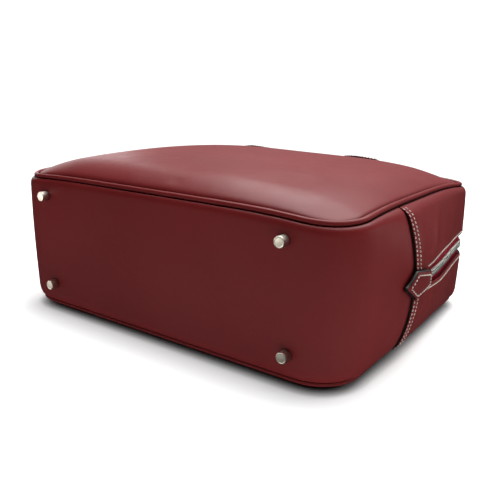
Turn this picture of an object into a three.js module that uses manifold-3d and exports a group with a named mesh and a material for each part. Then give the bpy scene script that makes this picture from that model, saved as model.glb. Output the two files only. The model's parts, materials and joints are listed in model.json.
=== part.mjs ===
// A soft leather zip-top bag with two rolled handles, lying on its back panel.
// Millimetres. X is the bag's length, -Y its bottom with the feet, +Y its zipped top, +Z its front.
// The origin is the middle of the flat area of the back panel that the bag rests on.
import * as THREE from 'three';
import { mergeVertices } from 'three/addons/utils/BufferGeometryUtils.js';
import Module from 'manifold-3d';

const wasm = await Module();
wasm.setup();

// ---- driving dimensions ----
const LENGTH = 320; // over the gusset, along X
const HEIGHT = 250; // over the gusset, along Y
const THICKNESS = 110; // between the planes of the two pipings
const CORNER_BOTTOM = 35; // outline radius at the feet
const CORNER_TOP = 24; // outline radius at the zip
const LEATHER = 2;
const LINING = 0.8;
const GAP = 0.3; // clearance between neighbouring pieces
const BACK_CROWN = 6; // depth of the back panel's cushion below its piping
const FRONT_CROWN = 12; // height of the front panel's cushion above its piping
const PIPING_INSET = 5; // piping centre inside the outline
const PIPING_R = 2;
const SIDE_BULGE = 8; // how far the short sides swell at mid thickness
const SWELL_Y = -20; // where along the side it is greatest
const SWELL_REACH = 95; // and how far along the side it reaches
const SEAM_Y = -45; // where the top gusset is sewn over the bottom gusset
const OPENING_HINGE_Y = -60; // the front half lifts about a line here, across the front panel's crown
const OPENING_ANGLE = 22; // degrees
const ZIP_END_Y = -22; // where the zip ends under its leather end tab
const ZIP_OPENING = 18; // between the two leather lips of the zip
const FOOT_X = 116;
const FOOT_SPACING = 76; // between the two feet of one end, along Z
const FOOT_SHIFT = 1; // of both feet towards the front
const BACK_FOOT_LEAN = 4.5; // the two back feet stand this much further right, as seen
const FOOT_R = 4;
const FOOT_HEIGHT = 6.5;
const HANDLE_X = 60; // handle ends either side of the middle
const HANDLE_DROP = 105; // from the pivot to the middle of the grip
const HANDLE_R = 5;
const HANDLE_TILT = 8; // degrees that the hanging front handle stands off the zip

const HALF_L = LENGTH / 2;
const HALF_H = HEIGHT / 2;
const Z_BACK = BACK_CROWN;
const Z_FRONT = Z_BACK + THICKNESS;
const Z_MID = (Z_BACK + Z_FRONT) / 2;
const PANEL_INSET = PIPING_INSET + PIPING_R + GAP;
// how far the lower edge of the front half comes down inside as its mouth opens
const DIP = (HALF_H - PIPING_INSET + OPENING_HINGE_Y)
  * Math.sin(THREE.MathUtils.degToRad(OPENING_ANGLE)) + PIPING_R;
const LAP = 12; // how far the bottom gusset runs on under the top gusset
const TONGUE_OUT = -LEATHER - 1; // its tongue, clear of the swollen gusset that slides over it
const PIVOT_Y = HALF_H + 9; // handle pivots, beyond the zip
const BACK_PIVOT_Z = HANDLE_R;
const FRONT_PIVOT_Z = Z_FRONT + 2;

// ---- materials ----
function finish(color, roughness, metalness) {
  return new THREE.MeshStandardMaterial({ color, roughness, metalness });
}
const leather = finish(0x6b1a1c, 0.4, 0);
const tabLeather = finish(0x64181a, 0.42, 0);
const liningCloth = finish(0x5a3a33, 0.8, 0);
const zipCloth = finish(0x8e1522, 0.75, 0);
const metal = finish(0xc9c5bd, 0.28, 1);
const board = finish(0x8a7358, 0.85, 0);

const bag = new THREE.Group();

function add(name, geometry, material, parent = bag) {
  const mesh = new THREE.Mesh(geometry, material);
  mesh.name = name;
  parent.add(mesh);
  return mesh;
}

// ---- geometry helpers ----
function weld(geometry) {
  geometry.deleteAttribute('normal');
  geometry.deleteAttribute('uv');
  return mergeVertices(geometry, 1e-4);
}

function finished(geometry) {
  const welded = weld(geometry);
  welded.computeVertexNormals();
  return welded;
}

function toSolid(geometry) {
  const welded = weld(geometry.clone());
  return new wasm.Manifold(new wasm.Mesh({
    numProp: 3,
    vertProperties: new Float32Array(welded.attributes.position.array),
    triVerts: new Uint32Array(welded.index.array),
  }));
}

function fromSolid(solid) {
  const { vertProperties, triVerts } = solid.getMesh();
  const geometry = new THREE.BufferGeometry();
  geometry.setAttribute('position', new THREE.BufferAttribute(vertProperties, 3));
  geometry.setIndex(new THREE.BufferAttribute(triVerts, 1));
  geometry.computeVertexNormals();
  return geometry;
}

function smooth(t) {
  const s = THREE.MathUtils.clamp(t, 0, 1);
  return s * s * (3 - 2 * s);
}

function span(from, to, steps) {
  return Array.from({ length: steps + 1 }, (_, i) => from + ((to - from) * i) / steps);
}

// A sheet with thickness: place(u, v, outer) gives each point of its two faces.
// u, v and the outer side have to make a right-handed set.
function sheet(us, vs, place) {
  const geometry = new THREE.BoxGeometry(
    us.length - 1, vs.length - 1, 1, us.length - 1, vs.length - 1, 1);
  const points = geometry.attributes.position;
  for (let k = 0; k < points.count; k += 1) {
    const u = us[Math.round(points.getX(k) + (us.length - 1) / 2)];
    const v = vs[Math.round(points.getY(k) + (vs.length - 1) / 2)];
    points.setXYZ(k, ...place(u, v, points.getZ(k) > 0));
  }
  return geometry;
}

// ---- the bag's outline: stations with an outward normal, running anticlockwise ----
function arcStations(cx, cy, r, fromDeg, steps) {
  return span(fromDeg, fromDeg + 90, steps).map((deg) => {
    const a = THREE.MathUtils.degToRad(deg);
    return { x: cx + r * Math.cos(a), y: cy + r * Math.sin(a), nx: Math.cos(a), ny: Math.sin(a) };
  });
}

function sideStations(sign, ys) {
  return ys.map((y) => ({ x: sign * HALF_L, y, nx: sign, ny: 0 }));
}

const bottomLeft = arcStations(-HALF_L + CORNER_BOTTOM, -HALF_H + CORNER_BOTTOM, CORNER_BOTTOM, 180, 6);
const bottomRight = arcStations(HALF_L - CORNER_BOTTOM, -HALF_H + CORNER_BOTTOM, CORNER_BOTTOM, 270, 6);
const topRight = arcStations(HALF_L - CORNER_TOP, HALF_H - CORNER_TOP, CORNER_TOP, 0, 5);
const topLeft = arcStations(-HALF_L + CORNER_TOP, HALF_H - CORNER_TOP, CORNER_TOP, 90, 5);

const closedLoop = [...bottomLeft, ...bottomRight, ...topRight, ...topLeft];

function upperLoop(startY) {
  const rising = [startY, ...[SEAM_Y + LAP, -15, 15, 50, 80].filter((y) => y > startY)];
  const falling = [...rising].reverse();
  return [...sideStations(1, rising), ...topRight, ...topLeft, ...sideStations(-1, falling)];
}

function lowerLoop(ys) {
  const falling = [...ys].reverse();
  return [...sideStations(-1, falling), ...bottomLeft, ...bottomRight, ...sideStations(1, ys)];
}

function bulge(station, z) {
  const along = THREE.MathUtils.clamp((station.y - SWELL_Y) / SWELL_REACH, -1, 1);
  const across = (z - Z_MID) / (THICKNESS / 2);
  const swell = Math.cos((Math.PI / 2) * along) ** 2 * Math.max(0, 1 - across * across);
  return SIDE_BULGE * swell * station.nx ** 2;
}

// the point at a distance out from the outline, swollen with the bag's side
function offset(station, out, z) {
  const d = out + bulge(station, z);
  return [station.x + station.nx * d, station.y + station.ny * d, z];
}

// a closed band over part of the outline: profile rows are [outer out, outer z, inner out, inner z]
function band(stations, profile) {
  return sheet(stations, profile, (station, [outerOut, outerZ, innerOut, innerZ], outer) => (
    outer ? offset(station, outerOut, outerZ) : offset(station, innerOut, innerZ)));
}

// ---- panels ----
const corner = (y) => (y < 0 ? CORNER_BOTTOM : CORNER_TOP);

function roundedPoint(x, y, halfX, halfY, inset) {
  const r = corner(y) - inset;
  const p = (Math.abs(x) - (halfX - r)) / r;
  const q = (Math.abs(y) - (halfY - r)) / r;
  if (p <= 0 || q <= 0) return [x, y];
  return [
    Math.sign(x) * (halfX - r + r * p * Math.sqrt(1 - (q * q) / 2)),
    Math.sign(y) * (halfY - r + r * q * Math.sqrt(1 - (p * p) / 2)),
  ];
}

const CROWN_WIDTH = 28;
const PANEL_GRID = { edges: [0, 3, 8, 16, CROWN_WIDTH], acrossX: [-70, 0, 70], acrossY: [-50, 0, 58, 72] };
const LINING_GRID = { edges: [0, 8, CROWN_WIDTH], acrossX: [], acrossY: [58, 72] };

function cushion(edgeDistance) {
  return 1 - (1 - THREE.MathUtils.clamp(edgeDistance / CROWN_WIDTH, 0, 1)) ** 2.5;
}

function gridLines(half, edges, inner) {
  const low = edges.map((d) => -half + d);
  const high = edges.map((d) => half - d).reverse();
  return [...low, ...inner, ...high];
}

function panelGrid(inset, { edges, acrossX, acrossY }) {
  const halfX = HALF_L - inset;
  const halfY = HALF_H - inset;
  const edge = (x, y) => Math.min(halfX - Math.abs(x), halfY - Math.abs(y));
  return {
    halfX, halfY, edge, xs: gridLines(halfX, edges, acrossX), ys: gridLines(halfY, edges, acrossY),
  };
}

const frontZ = (edge) => Z_FRONT + GAP + FRONT_CROWN * cushion(edge);
// the back panel is flat on the ground, and shallower near the zip to take the handle's tabs
const TAB_RECESS = 2.7;
function backZ(edge, y) {
  const flat = Z_BACK * (1 - cushion(edge));
  return Math.max(flat, TAB_RECESS * smooth((y - 58) / 14));
}

function frontSheet(grid, inset, drop, thickness) {
  const g = panelGrid(inset, grid);
  return sheet(g.xs, g.ys, (x, y, outer) => {
    const z = frontZ(g.edge(x, y)) - drop - (outer ? 0 : thickness);
    return [...roundedPoint(x, y, g.halfX, g.halfY, inset), z];
  });
}

function backSheet(grid, inset, rise, thickness) {
  const g = panelGrid(inset, grid);
  const reversed = [...g.xs].reverse();
  return sheet(reversed, g.ys, (x, y, outer) => {
    const z = backZ(g.edge(x, y), y) + rise + (outer ? 0 : thickness);
    return [...roundedPoint(x, y, g.halfX, g.halfY, inset), z];
  });
}

// ---- piping: a cord in a leather welt all round each panel ----
function piping(z) {
  const geometry = new THREE.TorusGeometry(1, 1, 8, closedLoop.length, Math.PI * 2);
  const points = geometry.attributes.position;
  for (let k = 0; k < points.count; k += 1) {
    const tubeStep = Math.floor(k / (closedLoop.length + 1));
    const station = closedLoop[(k % (closedLoop.length + 1)) % closedLoop.length];
    const a = (tubeStep / 8) * Math.PI * 2;
    const out = -PIPING_INSET + PIPING_R * Math.cos(a);
    points.setXYZ(k,
      station.x + station.nx * out, station.y + station.ny * out, z + PIPING_R * Math.sin(a));
  }
  return geometry;
}

// ---- gusset profiles ----
// shoulder rows from a piping plane inwards, as distances below that plane
const SHOULDER = [
  { out: -2.6, drop: 1, innerOut: -2.65, innerDrop: 3.2 },
  { out: -1, drop: 2.6, innerOut: -2.4, innerDrop: 5 },
  { out: 0, drop: 6.5, innerOut: -LEATHER, innerDrop: 7.5 },
];
const backShoulder = SHOULDER.map((s) => [s.out, Z_BACK + s.drop, s.innerOut, Z_BACK + s.innerDrop]);
const frontShoulder = SHOULDER.map((s) => [s.out, Z_FRONT - s.drop, s.innerOut, Z_FRONT - s.innerDrop]);
frontShoulder.reverse();
const flatRows = (zs, out, thickness) => zs.map((z) => [out, z, out - thickness, z]);

const LIP_BACK = Z_MID - ZIP_OPENING / 2;
const LIP_FRONT = Z_MID + ZIP_OPENING / 2;
// shared heights, so that layers over one another bend at the same places
const BACK_ROWS = [18, 30, 42, LIP_BACK];
const FRONT_ROWS = [LIP_FRONT, 80, 92, 104];
const ALL_ROWS = [...BACK_ROWS, Z_MID, ...FRONT_ROWS];

function bottomGusset() {
  const ys = [-75, SEAM_Y - 2.5, SEAM_Y - GAP];
  const rows = [...backShoulder, ...flatRows(ALL_ROWS, 0, LEATHER), ...frontShoulder];
  const shell = toSolid(band(lowerLoop(ys), rows));
  // the tongue at each end runs on under the top gusset
  const tongueRows = flatRows(ALL_ROWS, TONGUE_OUT, LEATHER);
  const tongues = [1, -1].map((side) => {
    const tongueYs = [SEAM_Y - 9, SEAM_Y, SEAM_Y + LAP];
    const stations = sideStations(side, side > 0 ? tongueYs : [...tongueYs].reverse());
    return toSolid(band(stations, tongueRows));
  });
  // stitched foot of the tongue, joining it to the main band
  const joins = [1, -1].map((side) => {
    const joinYs = [SEAM_Y - 9, SEAM_Y - 4];
    const stations = sideStations(side, side > 0 ? joinYs : [...joinYs].reverse());
    return toSolid(band(stations, flatRows(ALL_ROWS, -1, LEATHER + 1)));
  });
  let solid = shell;
  [...tongues, ...joins].forEach((piece) => { solid = solid.add(piece); });
  return solid;
}

// ---- feet, their rivet shanks and washers ----
const SHANK_R = 1.5;
const BOARD_OUT = -LEATHER - GAP;
const BOARD_THICKNESS = 2;
const BOARD_MARGIN = 9; // from the board's long edges to the piping planes
const WASHER_OUT = BOARD_OUT - BOARD_THICKNESS - GAP;
const WASHER_THICKNESS = 0.5;
const WASHER_R = 5;

function footProfile() {
  const inside = WASHER_OUT - WASHER_THICKNESS;
  return [
    [0, inside], [SHANK_R, inside], [SHANK_R, GAP], [FOOT_R - 0.8, GAP], [FOOT_R, 1.4],
    [FOOT_R, FOOT_HEIGHT - 1], [FOOT_R - 0.6, FOOT_HEIGHT], [FOOT_R - 1.6, FOOT_HEIGHT],
    [FOOT_R - 2, FOOT_HEIGHT - 0.8], [0, FOOT_HEIGHT - 0.8],
  ].map(([r, h]) => new THREE.Vector2(r, h));
}

// a lathe's axis is Y, and the feet point along -Y
function footGeometry() {
  return new THREE.LatheGeometry(footProfile(), 16).rotateX(Math.PI);
}

function washerGeometry() {
  const inner = SHANK_R + GAP;
  const low = WASHER_OUT - WASHER_THICKNESS;
  const profile = [[inner, low], [WASHER_R, low], [WASHER_R, WASHER_OUT], [inner, WASHER_OUT], [inner, low]];
  return new THREE.LatheGeometry(profile.map(([r, h]) => new THREE.Vector2(r, h)), 12).rotateX(Math.PI);
}

const footPlaces = [
  { name: 'front_left', x: -FOOT_X, z: Z_MID + FOOT_SHIFT + FOOT_SPACING / 2 },
  { name: 'front_right', x: FOOT_X, z: Z_MID + FOOT_SHIFT + FOOT_SPACING / 2 },
  { name: 'back_left', x: -FOOT_X + BACK_FOOT_LEAN, z: Z_MID + FOOT_SHIFT - FOOT_SPACING / 2 },
  { name: 'back_right', x: FOOT_X + BACK_FOOT_LEAN, z: Z_MID + FOOT_SHIFT - FOOT_SPACING / 2 },
];

function drillFootHoles(solid) {
  return footPlaces.reduce((drilled, foot) => {
    const through = 4 * FOOT_R;
    const hole = new THREE.CylinderGeometry(SHANK_R + GAP, SHANK_R + GAP, through, 10);
    hole.translate(foot.x, -HALF_H, foot.z);
    return drilled.subtract(toSolid(hole));
  }, solid);
}

function buildBottom() {
  add('bottom_gusset', fromSolid(drillFootHoles(bottomGusset())), leather);
  const plate = new THREE.BoxGeometry(
    LENGTH - 2 * CORNER_BOTTOM, BOARD_THICKNESS, THICKNESS - 2 * BOARD_MARGIN);
  plate.translate(0, -HALF_H - BOARD_OUT + BOARD_THICKNESS / 2, Z_MID);
  add('base_board', fromSolid(drillFootHoles(toSolid(plate))), board);
  footPlaces.forEach((foot) => {
    add(`foot_${foot.name}`, finished(footGeometry()), metal).position.set(foot.x, -HALF_H, foot.z);
    add(`foot_washer_${foot.name}`, finished(washerGeometry()), metal)
      .position.set(foot.x, -HALF_H, foot.z);
  });
}

// ---- panels, piping and the two halves of the top gusset ----
function buildShell() {
  add('back_panel', finished(backSheet(PANEL_GRID, PANEL_INSET, 0, LEATHER)), leather);
  add('front_panel', finished(frontSheet(PANEL_GRID, PANEL_INSET, 0, LEATHER)), leather);
  add('back_piping', finished(piping(Z_BACK)), leather);
  add('front_piping', finished(piping(Z_FRONT)), leather);
  const backRows = [...backShoulder, ...flatRows(BACK_ROWS, 0, LEATHER)];
  const frontRows = [...flatRows(FRONT_ROWS, 0, LEATHER), ...frontShoulder];
  add('upper_gusset_back', finished(band(upperLoop(SEAM_Y), backRows)), leather);
  add('upper_gusset_front', finished(band(upperLoop(SEAM_Y), frontRows)), leather);
}

// ---- zip: two tapes, two rows of teeth as plain strips, and the end tabs ----
const TAPE_OUT = -LEATHER - GAP;
const TAPE_THICKNESS = 0.8;
const TEETH_HALF_WIDTH = 3;
const TEETH_TOP = -1.1;
const TEETH_THICKNESS = 2.2;

function buildZip() {
  const tapeStart = SEAM_Y + LAP + 2;
  const edge = TEETH_HALF_WIDTH + GAP;
  const backTape = flatRows([Z_MID - 16, LIP_BACK, Z_MID - edge], TAPE_OUT, TAPE_THICKNESS);
  const frontTape = flatRows([Z_MID + edge, LIP_FRONT, Z_MID + 16], TAPE_OUT, TAPE_THICKNESS);
  add('zip_tape_back', finished(band(upperLoop(tapeStart), backTape)), zipCloth);
  add('zip_tape_front', finished(band(upperLoop(tapeStart), frontTape)), zipCloth);
  const halfGap = GAP / 2;
  const backTeeth = flatRows([Z_MID - TEETH_HALF_WIDTH, Z_MID - halfGap], TEETH_TOP, TEETH_THICKNESS);
  const frontTeeth = flatRows([Z_MID + halfGap, Z_MID + TEETH_HALF_WIDTH], TEETH_TOP, TEETH_THICKNESS);
  add('zip_teeth_back', finished(band(upperLoop(ZIP_END_Y - 6), backTeeth)), metal);
  add('zip_teeth_front', finished(band(upperLoop(ZIP_END_Y - 6), frontTeeth)), metal);
  [['left', -1], ['right', 1]].forEach(([name, side]) => {
    add(`zip_end_tab_${name}`, finished(endTab(side)), tabLeather);
  });
}

// a leather pentagon over the end of the zip, its point towards the feet
const TAB_HALF_WIDTH = 9.5;
const TAB_NECK_WIDTH = 5.5; // half its width at the zip
const TAB_POINT_Y = SEAM_Y - 13;
const TAB_TOP_Y = ZIP_END_Y - 2;
const TAB_THICKNESS = 3;

function endTabHalfWidth(y) {
  if (y < TAB_POINT_Y + 1) return 1;
  return y > TAB_TOP_Y - 1 ? TAB_NECK_WIDTH : TAB_HALF_WIDTH;
}

function endTab(side) {
  const ys = [TAB_POINT_Y, TAB_POINT_Y + 12, TAB_TOP_Y];
  const stations = sideStations(side, side > 0 ? ys : [...ys].reverse());
  return sheet(stations, [-1, 0, 1], (station, across, outer) => {
    const halfWidth = endTabHalfWidth(station.y);
    const out = 2 * GAP + (outer ? TAB_THICKNESS : 0);
    return offset(station, out, Z_MID + across * halfWidth);
  });
}

// ---- lining and the stitched-on pocket inside ----
function buildLining() {
  const inset = PANEL_INSET + 4;
  add('lining_back', finished(backSheet(LINING_GRID, inset, LEATHER + 1, LINING)), liningCloth);
  add('lining_front', finished(frontSheet(LINING_GRID, inset, LEATHER + 1, LINING)), liningCloth);
  const out = -5.7;
  const low = Z_BACK + 9;
  const high = Z_FRONT - 9;
  // the bottom lining stops short of the front panel's lower edge, which dips as the mouth opens
  const bottomRows = flatRows([low, ...ALL_ROWS.filter((z) => z > low && z < Z_FRONT - DIP)], out, LINING);
  add('lining_bottom', finished(band(lowerLoop([-75, SEAM_Y + 5]), bottomRows)), liningCloth);
  const top = upperLoop(SEAM_Y + 15);
  add('lining_gusset_back', finished(band(top, flatRows([low, Z_MID - 16], out, LINING))), liningCloth);
  add('lining_gusset_front', finished(band(top, flatRows([Z_MID + 16, high], out, LINING))), liningCloth);
  // a patch pocket: a sheet held off the lining by its sewn sides and bottom, open at the top
  const width = 180;
  const depth = 110;
  const face = new THREE.BoxGeometry(width, depth, 1).translate(0, 0, 2.5);
  const rim = new THREE.BoxGeometry(width, depth, 2).translate(0, 0, 1);
  const hollow = new THREE.BoxGeometry(width - 12, depth, 2.2).translate(0, 6, 0.9);
  const pocket = toSolid(rim).subtract(toSolid(hollow)).add(toSolid(face));
  const pocketZ = LEATHER + 1 + LINING + GAP;
  add('inner_pocket', fromSolid(pocket), liningCloth).position.set(0, -15, pocketZ);
}

// ---- handles ----
// a tab sewn on the panel runs over the piping to the pivot; path rows are [y, z, half width]
const TAB_WIDTH = 38;
const NECK_WIDTH = 16;
const TAB_START = 93; // the tab's point, up from the middle of the panel
const NECK_END = 3.4; // from the pivot's axis to the neck's end

function handleTab(path, sign) {
  const us = sign > 0 ? [-1, 0, 1] : [1, 0, -1];
  return sheet(us, path, (across, [y, z, halfWidth], outer) => (
    [across * halfWidth, y, z + (outer ? sign * LEATHER : 0)]));
}

function tabPath(surface, neck) {
  const start = TAB_START;
  const wide = TAB_WIDTH / 2;
  const narrow = NECK_WIDTH / 2;
  const rows = [[start, 1.5], [start + 8, wide], [start + 14, wide], [start + 19, narrow],
    [HALF_H - PANEL_INSET - 3, narrow]];
  return [...rows.map(([y, halfWidth]) => [y, surface(y), halfWidth]),
    ...neck.map(([y, z]) => [y, z, narrow])];
}

// a rolled grip: two straight legs and a round arch, in the plane of X and the drop from the pivot
const GRIP_LEG = 48;
const KNUCKLE_R = 3;

function gripPoint(t) {
  const legShare = 0.22;
  const side = t < 0.5 ? -1 : 1;
  const fromEnd = t < 0.5 ? t : 1 - t;
  if (fromEnd < legShare) return [side * HANDLE_X, (GRIP_LEG * fromEnd) / legShare];
  const angle = ((t - legShare) / (1 - 2 * legShare)) * Math.PI;
  const drop = HANDLE_DROP - GRIP_LEG;
  return [-HANDLE_X * Math.cos(angle), GRIP_LEG + drop * Math.sin(angle)];
}

// built hanging: X across, -Z down; neck ends are thinner and finish in a round knuckle on the pivot
function gripGeometry() {
  const steps = 26;
  const rings = 8;
  const tube = new THREE.CylinderGeometry(1, 1, steps, rings, steps);
  const points = tube.attributes.position;
  const at = (t) => new THREE.Vector3(gripPoint(t)[0], 0, -gripPoint(t)[1]);
  for (let k = 0; k < points.count; k += 1) {
    const t = 0.5 - points.getY(k) / steps;
    const here = at(t);
    const ahead = at(Math.min(t + 0.004, 1));
    const behind = at(Math.max(t - 0.004, 0));
    const along = ahead.sub(behind).normalize();
    const across = new THREE.Vector3(0, 1, 0).cross(along);
    const fromEnd = Math.min(t, 1 - t);
    const radius = HANDLE_R - 2.4 * (1 - smooth(fromEnd / 0.07));
    points.setXYZ(k,
      here.x + across.x * points.getX(k) * radius,
      points.getZ(k) * radius,
      here.z + across.z * points.getX(k) * radius);
  }
  const knuckles = [-1, 1].map((side) => {
    const knuckle = new THREE.CylinderGeometry(KNUCKLE_R, KNUCKLE_R, 12, 16);
    return toSolid(knuckle.rotateZ(Math.PI / 2).translate(side * HANDLE_X, 0, 0));
  });
  return fromSolid(toSolid(tube).add(knuckles[0]).add(knuckles[1]));
}

function buildHandles() {
  const panelHalfY = HALF_H - PANEL_INSET;
  const frontSurface = (y) => frontZ(panelHalfY - y) + GAP + 0.2;
  const backSurface = () => TAB_RECESS - GAP;
  const frontNeck = [[HALF_H - 5, Z_FRONT + 2.6], [PIVOT_Y - NECK_END, FRONT_PIVOT_Z - 1]];
  const backNeck = [[HALF_H - 3, 3.3], [PIVOT_Y - NECK_END, BACK_PIVOT_Z + 1]];
  const frontPath = tabPath(frontSurface, frontNeck);
  const backPath = tabPath(backSurface, backNeck);
  [['left', -HANDLE_X], ['right', HANDLE_X]].forEach(([name, x]) => {
    add(`front_handle_tab_${name}`, finished(handleTab(frontPath, 1)), tabLeather).position.x = x;
    add(`back_handle_tab_${name}`, finished(handleTab(backPath, -1)), tabLeather).position.x = x;
  });
  const front = add('front_handle', gripGeometry(), tabLeather);
  front.position.set(0, PIVOT_Y, FRONT_PIVOT_Z);
  front.rotation.x = THREE.MathUtils.degToRad(HANDLE_TILT);
  const back = add('back_handle', gripGeometry(), tabLeather);
  back.position.set(0, PIVOT_Y, BACK_PIVOT_Z);
  back.rotation.x = Math.PI / 2;
}

// ---- zip sliders, their pulls and leather pull tabs, meeting at the middle of the top ----
const SLIDER_LENGTH = 12;
const SLIDER_START = 7; // slider centre from the middle
const PIN_OUT = 3.3;
const PIN_R = 0.7;
const EYE_R = 2.1;
const LUG_INNER = 2; // half the space between the lugs
const BAR_END = 18;

// the slider is drawn for the right side: X along the zip away from the middle, Y out, Z across
function sliderGeometry() {
  const plate = new THREE.BoxGeometry(SLIDER_LENGTH, 1.6, 10);
  const flange = new THREE.BoxGeometry(SLIDER_LENGTH, 1.6, 1.4).translate(0, -0.9, -4.3);
  const pieces = [flange];
  [-1, 1].forEach((side) => {
    const lug = new THREE.BoxGeometry(3.4, 4, 1);
    pieces.push(lug.translate(0, 2.3, side * (LUG_INNER + 0.5)));
  });
  const pin = new THREE.CylinderGeometry(PIN_R, PIN_R, 2 * LUG_INNER + 1, 10).rotateX(Math.PI / 2);
  pieces.push(pin.translate(0, PIN_OUT, 0));
  return pieces.reduce((solid, piece) => solid.add(toSolid(piece)), toSolid(plate));
}

function pullGeometry() {
  const width = 2 * (LUG_INNER - GAP);
  const eye = new THREE.CylinderGeometry(EYE_R, EYE_R, width, 16).rotateX(Math.PI / 2);
  const hole = new THREE.CylinderGeometry(PIN_R + GAP, PIN_R + GAP, width + 2, 12).rotateX(Math.PI / 2);
  const bar = new THREE.BoxGeometry(BAR_END - 1.5, 1.2, width).translate((BAR_END + 1.5) / 2, 0, 0);
  return toSolid(eye).add(toSolid(bar)).subtract(toSolid(hole)).translate([0, PIN_OUT, 0]);
}

function pullTabGeometry() {
  const length = 34;
  const start = 8;
  const thickness = 3.4;
  const body = new THREE.BoxGeometry(length, thickness, 9, 4, 1, 1);
  const points = body.attributes.position;
  for (let k = 0; k < points.count; k += 1) {
    const along = points.getX(k) / length + 0.5;
    points.setZ(k, points.getZ(k) * (0.72 + 0.28 * smooth(along * 2)));
  }
  body.translate(start + length / 2, PIN_OUT, 0);
  const slotLength = BAR_END - start + GAP;
  const slot = new THREE.BoxGeometry(slotLength + 2, 1.2 + 2 * GAP, 2 * LUG_INNER);
  slot.translate(start - 2 + (slotLength + 2) / 2, PIN_OUT, 0);
  return toSolid(body).subtract(toSolid(slot));
}

function buildSliders() {
  [['left', -1], ['right', 1]].forEach(([name, side]) => {
    const assembly = new THREE.Group();
    assembly.position.set(side * SLIDER_START, HALF_H, Z_MID);
    // the left slider is the right one turned half round the outward direction
    assembly.rotation.y = side > 0 ? 0 : Math.PI;
    bag.add(assembly);
    add(`zip_slider_${name}`, fromSolid(sliderGeometry()), metal, assembly);
    add(`zip_pull_${name}`, fromSolid(pullGeometry()), metal, assembly);
    add(`zip_pull_tab_${name}`, fromSolid(pullTabGeometry()), tabLeather, assembly);
  });
}

buildBottom();
buildShell();
buildZip();
buildLining();
buildHandles();
buildSliders();

export default bag;
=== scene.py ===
"""A soft burgundy leather bag lying on its back panel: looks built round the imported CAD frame."""
import json
import math

import bmesh
import bpy
import numpy as np
from mathutils import Matrix, Vector


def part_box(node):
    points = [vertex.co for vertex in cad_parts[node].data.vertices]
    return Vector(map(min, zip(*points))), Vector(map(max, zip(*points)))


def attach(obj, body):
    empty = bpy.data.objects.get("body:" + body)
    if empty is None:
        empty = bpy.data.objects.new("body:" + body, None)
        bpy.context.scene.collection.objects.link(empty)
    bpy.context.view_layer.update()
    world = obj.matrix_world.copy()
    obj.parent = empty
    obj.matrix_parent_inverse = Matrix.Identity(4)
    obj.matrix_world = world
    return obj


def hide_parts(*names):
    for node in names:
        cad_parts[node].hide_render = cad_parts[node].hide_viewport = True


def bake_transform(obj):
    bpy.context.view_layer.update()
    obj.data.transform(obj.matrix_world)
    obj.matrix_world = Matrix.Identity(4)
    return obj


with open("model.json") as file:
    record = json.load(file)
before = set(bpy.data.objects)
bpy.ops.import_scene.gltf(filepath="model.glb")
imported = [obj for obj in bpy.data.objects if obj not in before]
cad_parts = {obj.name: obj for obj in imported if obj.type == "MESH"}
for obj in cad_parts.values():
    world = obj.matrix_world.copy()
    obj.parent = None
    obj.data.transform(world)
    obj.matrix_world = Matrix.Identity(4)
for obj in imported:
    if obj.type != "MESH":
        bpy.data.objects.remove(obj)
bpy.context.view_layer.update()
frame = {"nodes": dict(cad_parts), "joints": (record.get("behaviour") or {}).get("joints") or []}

MM = 0.001

# ---- sizes from the frame, in metres ----
piping_low, piping_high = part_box("front_piping")
back_piping_low, back_piping_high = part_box("back_piping")
PIPING_R = (piping_high.z - piping_low.z) / 2
PIPING_INSET = 5 * MM
HALF_L = piping_high.x - PIPING_R + PIPING_INSET
HALF_H = piping_high.y - PIPING_R + PIPING_INSET
Z_FRONT = (piping_high.z + piping_low.z) / 2
Z_BACK = (back_piping_high.z + back_piping_low.z) / 2
Z_MID = (Z_FRONT + Z_BACK) / 2
THICKNESS = Z_FRONT - Z_BACK
SEAM_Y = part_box("upper_gusset_front")[0].y
LIP_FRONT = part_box("upper_gusset_front")[0].z
LIP_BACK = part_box("upper_gusset_back")[1].z
FRONT_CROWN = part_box("front_panel")[1].z - Z_FRONT
ZIP_END_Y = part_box("zip_end_tab_right")[1].y
JOINTS = {joint["name"]: joint for joint in frame["joints"]}
FRONT_PIVOT = Vector(JOINTS["front_handle_swing"]["pos_m"])
BACK_PIVOT = Vector(JOINTS["back_handle_swing"]["pos_m"])
HANDLE_X = (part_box("front_handle_tab_right")[0].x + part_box("front_handle_tab_right")[1].x) / 2

CORNER_BOTTOM = 35 * MM
CORNER_TOP = 24 * MM
LEATHER = 2 * MM
STEP = 3 * MM  # spacing of the fine surfaces


# ---- camera ----
CAMERA_PLACE = Vector((0.3037, -0.4351, 0.1933))
CAMERA_AZIMUTH = math.radians(35.03)
CAMERA_ELEVATION = math.radians(14.98)
CAMERA_ROLL = math.radians(1.15)
CAMERA_LENS = 44.35


def make_camera():
    data = bpy.data.cameras.new("camera")
    data.lens = CAMERA_LENS
    data.sensor_width = 36
    data.clip_start = 0.01
    camera = bpy.data.objects.new("camera", data)
    bpy.context.collection.objects.link(camera)
    a, e, r = CAMERA_AZIMUTH, CAMERA_ELEVATION, CAMERA_ROLL
    back = Vector((math.sin(a) * math.cos(e), -math.cos(a) * math.cos(e), math.sin(e)))
    level = (-back).cross(Vector((0, 0, 1))).normalized()
    upright = level.cross(-back)
    right = math.cos(r) * level + math.sin(r) * upright
    up = -math.sin(r) * level + math.cos(r) * upright
    turn = Matrix((right, up, back)).transposed()
    camera.matrix_world = Matrix.Translation(CAMERA_PLACE) @ turn.to_4x4()
    bpy.context.scene.camera = camera


make_camera()


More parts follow.
